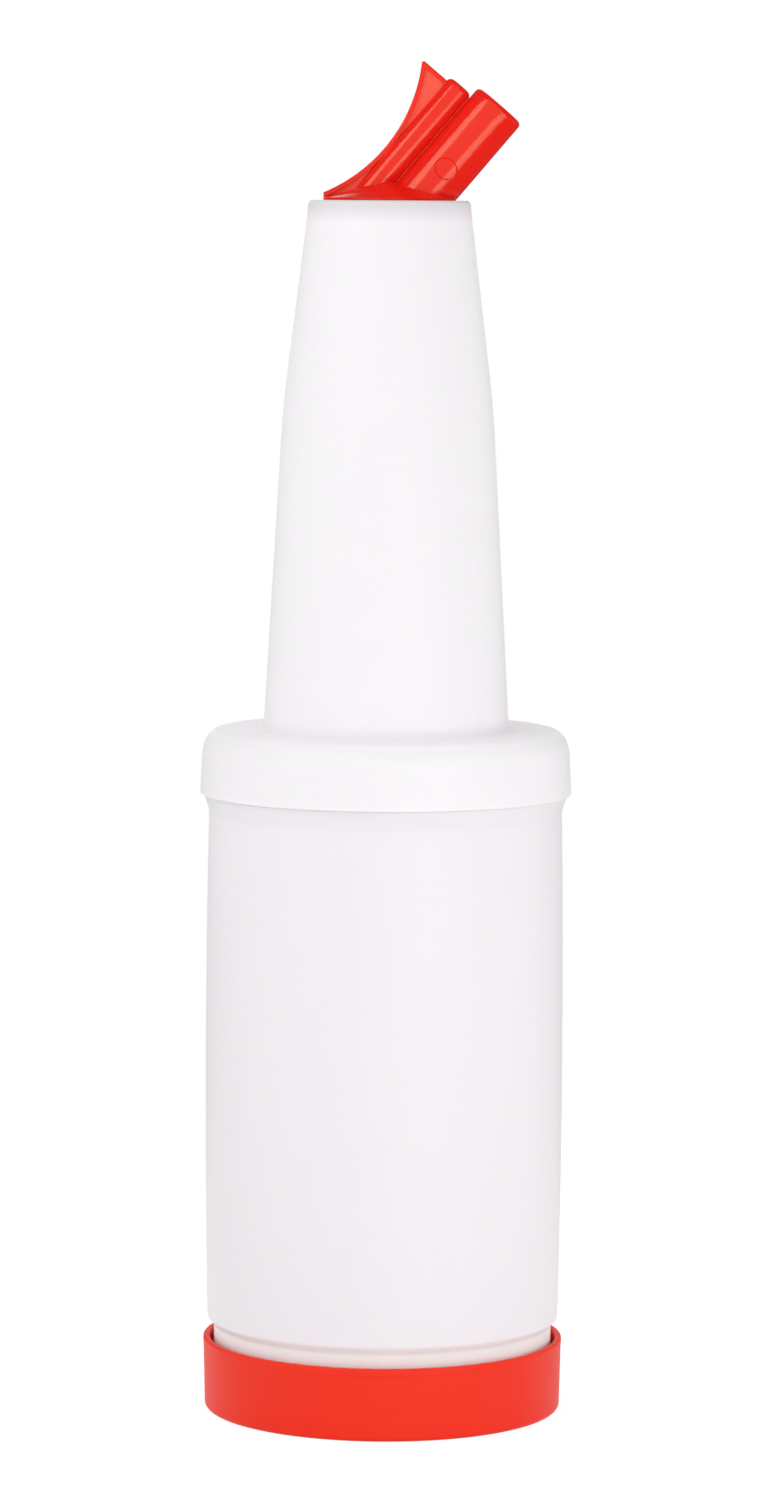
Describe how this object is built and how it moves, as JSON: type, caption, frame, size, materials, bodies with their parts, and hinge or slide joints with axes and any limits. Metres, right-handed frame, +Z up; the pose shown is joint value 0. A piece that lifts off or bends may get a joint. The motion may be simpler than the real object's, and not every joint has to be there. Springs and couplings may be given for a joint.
{
  "type": "pouring bottle",
  "caption": "Tall empty pouring bottle: straight container, tapered neck with a wide collar, slanted pour spout, and a round lid stored under the foot.",
  "frame": {"origin": "centre of the lid's flat underside, which is what the bottle stands on", "axes": "+Z up along the bottle's axis; +X the way the spout pours"},
  "size_m": [0.09, 0.09, 0.3273],
  "materials": {
    "container_plastic": "blow-moulded natural white polyethylene, satin and milky",
    "neck_plastic": "moulded natural white polyethylene, satin and milky",
    "spout_plastic": "injection-moulded red polypropylene, polished",
    "cap_plastic": "injection-moulded red polypropylene, semi-gloss"
  },
  "bodies": {
    "root": {"container": "container_plastic", "neck": "neck_plastic", "spout": "spout_plastic", "cap": "cap_plastic"}
  },
  "joints": []
}
